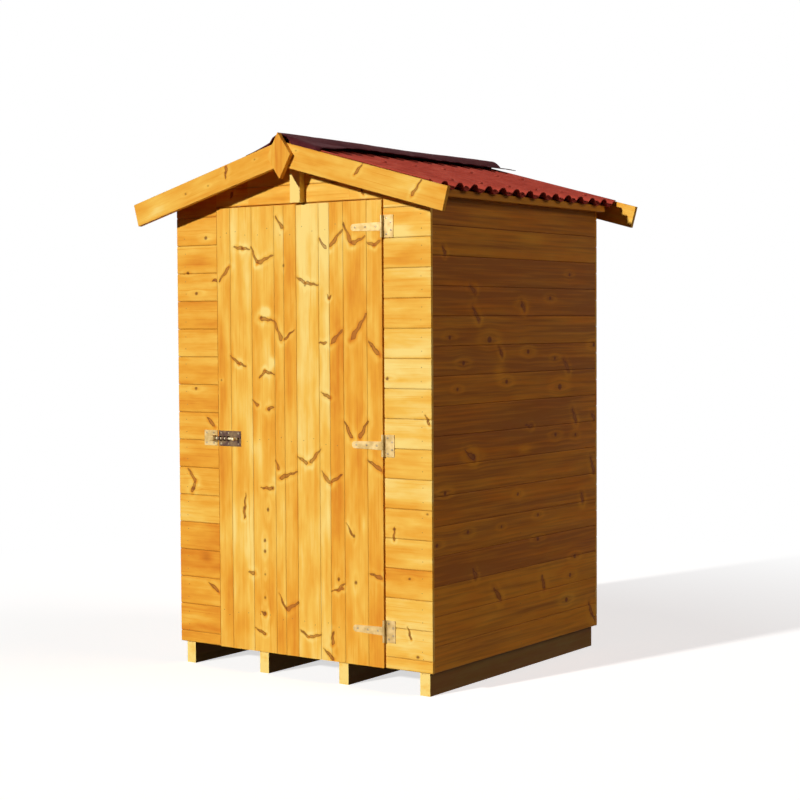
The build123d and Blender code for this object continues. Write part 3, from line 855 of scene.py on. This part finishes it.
def bargeboard(name, node, side, end, seed, marks=NO_MARKS):
    """One sloping board; side is +1 on the right, and end is -1 at the front and +1 at the back."""
    box_low, box_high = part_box(node)
    outer = box_low.y if end < 0 else box_high.y
    angle = math.atan(roof_slope)
    cosine, sine = math.cos(angle), math.sin(angle)
    tip = max(abs(box_low.x), abs(box_high.x))
    foot_rise = box_high.z - roof_slope * tip - box_low.z
    width = foot_rise / cosine
    root = box_high.z - width / cosine
    face = Face(
        (0, outer, root),
        (side * cosine, 0, -sine),
        (side * sine, 0, cosine),
        (0, end, 0),
        box_high.y - box_low.y,
    )
    reach = (tip - width * sine) / cosine
    start = -width * sine / cosine
    boards = Boards(face, marks, groove=BARGEBOARD_GROOVE)
    boards.add(
        start,
        reach,
        lambda a: max(0.0, -a * cosine / sine) if a < 0 else 0.0,
        lambda a: width,
        (0, width),
        BARGEBOARD_TONE,
        seed,
        stops=[0.0],
    )
    return boards.piece(name, node, board_pine, "cladding_wood")


left_slope_marks = Marks(
    knots_mm([(478, 46, 5), (358, 40, 4), (262, 60, 6), (110, 62, 3)]),
    spikes_mm([(268, 36, 250, 84, 6)]),
    patches_mm([(640, 40, 60, 30, 0.1), (300, 60, 160, 40, -0.06)]),
)
right_slope_marks = Marks(
    knots_mm([(60, 70, 3)]),
    spikes_mm([(372, 88, 348, 42, 6), (640, 90, 610, 20, 6)]),
    patches_mm([(600, 60, 60, 30, 0.15), (200, 40, 200, 30, -0.05)]),
)
bargeboard("bargeboard_front_left", "front_bargeboard_left", -1, -1, 51, left_slope_marks)
bargeboard("bargeboard_front_right", "front_bargeboard_right", 1, -1, 53, right_slope_marks)
bargeboard("bargeboard_back_left", "back_bargeboard_left", -1, 1, 57)
bargeboard("bargeboard_back_right", "back_bargeboard_right", 1, 1, 59)

# Timbers that keep the solids' shapes
painted(pale_timber_z_painted_light, "gable_post")
painted(bearer_pine_painted_light, "bearer_left", "bearer_inner_left", "bearer_inner_right", "bearer_right", "floor")
painted(eaves_pine_painted_shade, "eaves_rail_left", "eaves_rail_right")
painted(timber_y, "ridge_beam", "purlin_left", "purlin_right", "left_wall_rails", "right_wall_rails")
painted(timber_x, "front_wall_rails", "back_wall_rails", "door_head", "front_rafters", "back_rafters")
painted(timber_x, "door_ledges", "door_braces")
painted(timber_z, "front_wall_studs", "back_wall_studs", "left_wall_studs", "right_wall_studs")
painted(timber_z, "front_finial", "back_finial")


def bitumen(name, colour, dark, light):
    """Fibrous bitumen sheet: a dull mottled coat."""
    material, tree, shader = new_material(name)
    coordinates = tree.nodes.new("ShaderNodeTexCoord").outputs["Object"]
    mottle = noise(tree, coordinates, (14.0, 14.0, 14.0), 4.0)
    grit = noise(tree, coordinates, (700.0, 700.0, 700.0), 2.0)
    value = plus(tree, times(tree, mottle, 0.7), times(tree, grit, 0.3))
    colours = ramp(tree, value, [(0.3, dark), (0.5, colour), (0.72, light)])
    tree.links.new(colours, shader.inputs["Base Color"])
    shader.inputs["Roughness"].default_value = 0.8
    shader.inputs["Specular IOR Level"].default_value = 0.1
    roughen(tree, shader, grit, 0.35, 0.001)
    return material


sheet_red = bitumen("sheet_red", (0.43, 0.060, 0.038), (0.32, 0.040, 0.024), (0.52, 0.095, 0.06))
cap_red = bitumen("cap_red", (0.080, 0.012, 0.017), (0.042, 0.007, 0.010), (0.13, 0.026, 0.024))
painted(sheet_red, "roof_sheet_left", "roof_sheet_right")

cap_low, cap_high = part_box("ridge_cap")
sheet_low, sheet_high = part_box("roof_sheet_right")
crest_at = sheet_low.y + FIRST_CREST


def crest_line(x):
    """Height of the corrugations' crests."""
    return roof_height(x) + CREST_RISE


def cap_profile(root, wing, rise, lift, flare):
    """Half section of the cap: how high it stands over the crests at each distance from the ridge.

    root is the roll's half width, wing the wing's reach, rise the ridge's height and lift the
    wing's. flare turns the roll and wing into one hollow curve, fully at 1.
    """
    foot = 0.3 * lift
    shares = [math.sin(0.5 * math.pi * step / 8) * root / wing for step in range(9)]
    shares += [root / wing + share * (1 - root / wing) for share in (0.15, 0.4, 0.7, 1.0)]
    points = []
    for share in shares:
        x = share * wing
        inner = max(0.0, 1 - (x / root) ** 2)
        outer = max(0.0, x - root) / (wing - root)
        rolled = (rise - foot) * inner + lift * (0.3 + 0.7 * outer)
        hollow = rise * (1 - share) ** 1.9 + foot * share
        points.append((x, rolled + flare * (hollow - rolled)))
    return points


def cap_sheet(name, start, end, root, wing, rise, flare, above, seed):
    """One lapped length of the ridge cap; root, wing, rise and flare are functions of Y."""
    phase = random.Random(seed).uniform(0, 6)
    count = max(8, int((end - start) / CAP_STEP))
    shape = bmesh.new()
    rows = []
    for index in range(count + 1):
        y = start + (end - start) * index / count
        ripple = math.sin(2 * math.pi * (y - crest_at) / CORRUGATION_PITCH)
        reach = wing(y) + 2 * MM * math.sin(9 * y + phase)
        near_lift = NEAR_WING_LIFT + 0.8 * MM * ripple
        right = cap_profile(root(y), reach, rise(y), near_lift, flare(y))
        left = cap_profile(root(y), reach, rise(y), FAR_WING_LIFT, flare(y))
        turned = TURN_DOWN * smooth((cap_low.y + TURN_LENGTH - y) / TURN_LENGTH)
        row = []
        for x, z in [(-x, z) for x, z in reversed(left)] + right[1:]:
            wobble = 0.5 * MM * math.sin(31 * y + 40 * x + phase) + 0.3 * MM * ripple
            drop = turned * smooth((abs(x) - 30 * MM) / (40 * MM))
            row.append(shape.verts.new((x, y, crest_line(x) + above + z - drop + min(wobble, 0.0))))
        rows.append(row)
    for first, second in zip(rows, rows[1:]):
        for i in range(len(first) - 1):
            shape.faces.new((first[i], second[i], second[i + 1], first[i + 1]))
    bmesh.ops.recalc_face_normals(shape, faces=shape.faces)
    obj = place_shape(name, shape, cap_red)
    for polygon in obj.data.polygons:
        polygon.use_smooth = True
    shell = obj.modifiers.new("thickness", "SOLIDIFY")
    shell.thickness = CAP_SHEET
    shell.offset = 1.0 if obj.data.polygons[0].normal.z < 0 else -1.0
    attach(obj, "shed")
    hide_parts("ridge_cap")
    return obj


def ridge_cap():
    """The front length lies over the back one and flares towards the front end."""
    lap_start, lap_end = CAP_LAP

    def sagging(top):
        return lambda y: top - crest_line(0) - CAP_SAG * math.exp(-(((y - SAG_AT) / SAG_LENGTH) ** 2))

    cap_sheet(
        "ridge_cap_back",
        lap_start,
        cap_high.y - 2 * MM,
        lambda y: BACK_ROLL - BACK_ROLL_TAPER * (y - lap_start),
        lambda y: BACK_WING,
        sagging(cap_high.z - 2 * CAP_LAYER),
        lambda y: 0.0,
        CAP_LAYER,
        71,
    )
    cap_sheet(
        "ridge_cap_front",
        cap_low.y,
        lap_end,
        lambda y: FRONT_ROLL,
        lambda y: FRONT_WING + FLARED_WING * smooth((FLARE_FROM - y) / WING_FLARE_LENGTH),
        sagging(cap_high.z - 3 * CAP_LAYER),
        lambda y: smooth((FLARE_FROM - y) / ROLL_FLARE_LENGTH),
        2 * CAP_LAYER,
        73,
    )


ridge_cap()


def metal(name, light, dark, roughness):
    """Passivated steel: spangled and duller in patches."""
    material, tree, shader = new_material(name)
    coordinates = tree.nodes.new("ShaderNodeTexCoord").outputs["Object"]
    spangle = noise(tree, coordinates, (38.0, 38.0, 38.0), 3.0)
    fine = noise(tree, coordinates, (900.0, 900.0, 900.0), 2.0)
    colours = ramp(tree, spangle, [(0.38, dark), (0.62, light)])
    tree.links.new(colours, shader.inputs["Base Color"])
    shader.inputs["Metallic"].default_value = 0.85
    rough = plus(tree, times(tree, fine, 0.2), roughness)
    tree.links.new(rough, shader.inputs["Roughness"])
    roughen(tree, shader, spangle, 0.2, 0.0005)
    return material


hinge_metal = metal("yellow_zinc", (0.54, 0.39, 0.17), (0.40, 0.27, 0.10), 0.38)
bolt_metal = metal("bright_zinc", (0.78, 0.68, 0.46), (0.50, 0.40, 0.22), 0.25)
plate_metal = metal("dark_zinc", (0.17, 0.11, 0.055), (0.07, 0.035, 0.03), 0.42)
screw_metal = metal("screw_steel", (0.42, 0.34, 0.22), (0.22, 0.17, 0.11), 0.3)
nail_metal = metal("nail_steel", (0.36, 0.20, 0.07), (0.20, 0.10, 0.03), 0.5)
painted(hinge_metal, "hinge_straps", "hinge_plates", "bolt_keep")
painted(bolt_metal, "bolt")
painted(plate_metal, "bolt_plate")


def heads(name, places, body, size, material, outward=(0, -1, 0)):
    """Domed heads of screws or nails, standing on a surface that faces outward."""
    radius, height, recess = size
    shape = bmesh.new()
    steps = 12
    outward = Vector(outward)
    turn = outward.to_track_quat("Z", "Y").to_matrix().to_4x4()
    rng = random.Random(len(places))
    for spot in places:
        spin = Matrix.Rotation(rng.uniform(0, math.pi), 4, "Z")
        to_world = Matrix.Translation(spot) @ turn @ spin
        rings = []
        for scale, level in ((1.0, 0.0), (0.96, 0.45), (0.78, 0.85), (0.45, 1.0)):
            ring = []
            for step in range(steps):
                angle = 2 * math.pi * step / steps
                flat = Vector((math.cos(angle), math.sin(angle), 0)) * radius * scale
                ring.append(shape.verts.new(to_world @ (flat + Vector((0, 0, height * level)))))
            rings.append(ring)
        centre = shape.verts.new(to_world @ Vector((0, 0, height * (1 - recess))))
        for lower, upper in zip(rings, rings[1:]):
            for step in range(steps):
                after = (step + 1) % steps
                shape.faces.new((lower[step], lower[after], upper[after], upper[step]))
        for step in range(steps):
            shape.faces.new((rings[-1][step], rings[-1][(step + 1) % steps], centre))
        shape.faces.new(list(reversed(rings[0])))
    obj = place_shape(name, shape, material)
    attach(obj, body)
    return obj


def roof_nails():
    """Capped nails through every second crest, at the eaves and the purlins."""
    angle = math.atan(roof_slope)
    for side, label in ((-1, "left"), (1, "right")):
        places = []
        for index in range(0, 15, 2):
            y = crest_at + index * CORRUGATION_PITCH
            if sheet_low.y + 20 * MM < y < sheet_high.y - 20 * MM:
                places += [(side * x, y, crest_line(x)) for x in ROOF_NAIL_ROWS]
        outward = (side * math.sin(angle), 0, math.cos(angle))
        heads(f"roof_nails_{label}", places, "shed", ROOF_NAIL_HEAD, sheet_red, outward)


# Screws of the hinges and the bolt
ledge_low, ledge_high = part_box("door_ledges")
bolt_low, bolt_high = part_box("bolt_plate")
keep_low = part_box("bolt_keep")[0]
bolt_centre = (bolt_low.z + bolt_high.z) / 2
hinge_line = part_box("hinge_straps")[1].x - 5 * MM
ledge_levels = (ledge_low.z + LEDGE_HALF, MIDDLE_HINGE, ledge_high.z - LEDGE_HALF)
strap_front = door_low.y - HARDWARE_FACE
plate_front = wall_front - HARDWARE_FACE
door_screws = [(hinge_line - reach, strap_front, level) for level in ledge_levels for reach in STRAP_SCREWS]
door_screws += [
    (bolt_low.x + along * MM, door_low.y - BOLT_PLATE_FACE, bolt_centre + side * 21 * MM)
    for along in (12, 50, 100)
    for side in (-1, 1)
]
wall_screws = [
    (hinge_line + 27 * MM + side * 10 * MM, plate_front, level + rise * MM)
    for level in ledge_levels
    for side, rise in ((-1, -29), (1, -14), (-1, 29), (1, 14))
]
wall_screws += [
    (keep_low.x + along * MM, wall_front - BOLT_PLATE_FACE, bolt_centre + side * 20 * MM)
    for along in (12, 48)
    for side in (-1, 1)
]
heads("door_screws", door_screws, "door", SCREW_HEAD, screw_metal)
heads("wall_screws", wall_screws, "shed", SCREW_HEAD, screw_metal)


def board_levels(bottom, top, first_joint, cover):
    """Heights of the boards' middles."""
    return [lower + 0.5 * (upper - lower) for lower, upper in strips(bottom, top, first_joint, cover)]


def wander(rng, amount=3 * MM):
    return rng.uniform(-amount, amount)


def wall_nails():
    """Two nails through each board at each stud."""
    rng = random.Random(5)
    front, back, right, left = [], [], [], []
    for level in board_levels(panel_low.z, rail_high.z, FRONT_FIRST_JOINT, BOARD_COVER):
        for places, y, columns in (
            (front, wall_front, (-END_WALL_NAILS, END_WALL_NAILS)),
            (back, wall_back, (-BACK_WALL_NAILS, 0.0, BACK_WALL_NAILS)),
        ):
            for x in columns:
                for rise in (NAILS_APART, -NAILS_APART):
                    places.append((x + wander(rng), y, level + rise + wander(rng)))
    heads("front_nails", front, "shed", NAIL_HEAD, nail_metal)
    heads("back_nails", back, "shed", NAIL_HEAD, nail_metal, (0, 1, 0))
    studs = (wall_front + SIDE_WALL_NAILS, (wall_front + wall_back) / 2, wall_back - SIDE_WALL_NAILS)
    for level in board_levels(panel_low.z, rail_low.z, SIDE_FIRST_JOINT, SIDE_COVER):
        for y in studs:
            for rise in (-NAILS_APART, NAILS_APART):
                right.append((wall_right, y + wander(rng), level + rise + wander(rng)))
                left.append((-wall_right, y + wander(rng), level + rise + wander(rng)))
    heads("right_nails", right, "shed", NAIL_HEAD, nail_metal, (1, 0, 0))
    heads("left_nails", left, "shed", NAIL_HEAD, nail_metal, (-1, 0, 0))


def door_nails():
    """Two nails through each door board at each ledge, except under the straps."""
    rng = random.Random(6)
    boards = [door_low.x, *DOOR_JOINTS, door_high.x]
    places = []
    for level in ledge_levels:
        for left, right in zip(boards, boards[1:]):
            for share in (0.28, 0.72):
                x = left + share * (right - left)
                if x <= hinge_line - STRAP_REACH:
                    places.append((x + wander(rng), door_low.y, level + wander(rng, 16 * MM)))
    heads("door_nails", places, "door", NAIL_HEAD, nail_metal)


wall_nails()
door_nails()
roof_nails()


# Floor, backdrop and light
def shown_directly(tree):
    """1 for rays that show the backdrop itself: seen by the camera, mirrored or through glass."""
    path = tree.nodes.new("ShaderNodeLightPath")
    shown = maths(tree, "MAXIMUM", path.outputs["Is Camera Ray"], path.outputs["Is Glossy Ray"])
    return maths(tree, "MAXIMUM", shown, path.outputs["Is Transmission Ray"])


def blend_shaders(tree, factor, first, second):
    blend = tree.nodes.new("ShaderNodeMixShader")
    tree.links.new(factor, blend.inputs[0])
    tree.links.new(first, blend.inputs[1])
    tree.links.new(second, blend.inputs[2])
    return blend.outputs[0]


def make_floor():
    """A pale floor that keeps the shadow, white further out, and dim for the light it sends back."""
    mesh = bpy.data.meshes.new("studio_floor")
    corners = [(x * FLOOR_HALF, y * FLOOR_HALF, 0) for x, y in ((-1, -1), (1, -1), (1, 1), (-1, 1))]
    mesh.from_pydata(corners, [], [(0, 1, 2, 3)])
    obj = place("studio_floor", mesh)
    material = bpy.data.materials.new("studio_floor")
    material.use_nodes = True
    tree = material.node_tree
    tree.nodes.clear()
    out = tree.nodes.new("ShaderNodeOutputMaterial")
    lit = tree.nodes.new("ShaderNodeAddShader")
    tree.links.new(fed(tree, "BsdfDiffuse", Color=FLOOR_SEEN).outputs[0], lit.inputs[0])
    tree.links.new(fed(tree, "Emission", Strength=FLOOR_GLOW).outputs[0], lit.inputs[1])
    white = tree.nodes.new("ShaderNodeEmission")
    length = tree.nodes.new("ShaderNodeVectorMath")
    length.operation = "LENGTH"
    tree.links.new(tree.nodes.new("ShaderNodeTexCoord").outputs["Object"], length.inputs[0])
    beyond = minus(tree, length.outputs["Value"], WHITE_FROM)
    far = clamp(tree, times(tree, beyond, WHITE_RISE))
    seen = blend_shaders(tree, far, lit.outputs[0], white.outputs[0])
    bounce = fed(tree, "BsdfDiffuse", Color=FLOOR_BOUNCE)
    surface = blend_shaders(tree, shown_directly(tree), bounce.outputs[0], seen)
    tree.links.new(surface, out.inputs["Surface"])
    mesh.materials.append(material)


def make_world():
    """White where it is seen, and a dim warm sky for the light."""
    world = bpy.data.worlds.new("studio")
    scene.world = world
    world.use_nodes = True
    tree = world.node_tree
    tree.nodes.clear()
    out = tree.nodes.new("ShaderNodeOutputWorld")
    sky = fed(tree, "Background", Color=SKY_COLOUR, Strength=SKY_STRENGTH)
    white = fed(tree, "Background", Color=(1, 1, 1), Strength=1.0)
    surface = blend_shaders(tree, shown_directly(tree), sky.outputs[0], white.outputs[0])
    tree.links.new(surface, out.inputs["Surface"])


def make_sun(name, strength, angle, colour, elevation, turn):
    """A sun lamp; turn is how far to the right of the front it stands, in degrees."""
    light = bpy.data.lights.new(name, "SUN")
    light.energy = strength
    light.angle = math.radians(angle)
    light.color = colour
    obj = place(name, light)
    up, turn = math.radians(elevation), math.radians(turn)
    towards = Vector((-math.sin(turn) * math.cos(up), math.cos(turn) * math.cos(up), -math.sin(up)))
    obj.rotation_euler = towards.to_track_quat("-Z", "Y").to_euler()


def make_camera():
    camera = bpy.data.cameras.new("camera")
    camera.sensor_width = SENSOR
    camera.lens = CAMERA_LENS
    obj = place("camera", camera)
    turn, pitch, roll = (math.radians(v) for v in (CAMERA_TURN, CAMERA_PITCH, CAMERA_ROLL))
    forward = Vector((-math.sin(turn) * math.cos(pitch), math.cos(turn) * math.cos(pitch), math.sin(pitch)))
    level = Vector((math.cos(turn), math.sin(turn), 0))
    above = level.cross(forward)
    right = math.cos(roll) * level + math.sin(roll) * above
    up = -math.sin(roll) * level + math.cos(roll) * above
    basis = Matrix((right, up, -forward)).transposed()
    obj.matrix_world = Matrix.Translation(CAMERA_AT) @ basis.to_4x4()
    camera.clip_end = 300
    scene.camera = obj


make_floor()
make_world()
make_sun("key", SUN_STRENGTH, SUN_ANGLE, SUN_COLOUR, SUN_ELEVATION, -SUN_FROM_LEFT)
make_sun("fill", FILL_STRENGTH, FILL_ANGLE, FILL_COLOUR, FILL_ELEVATION, FILL_FROM_RIGHT)
make_camera()
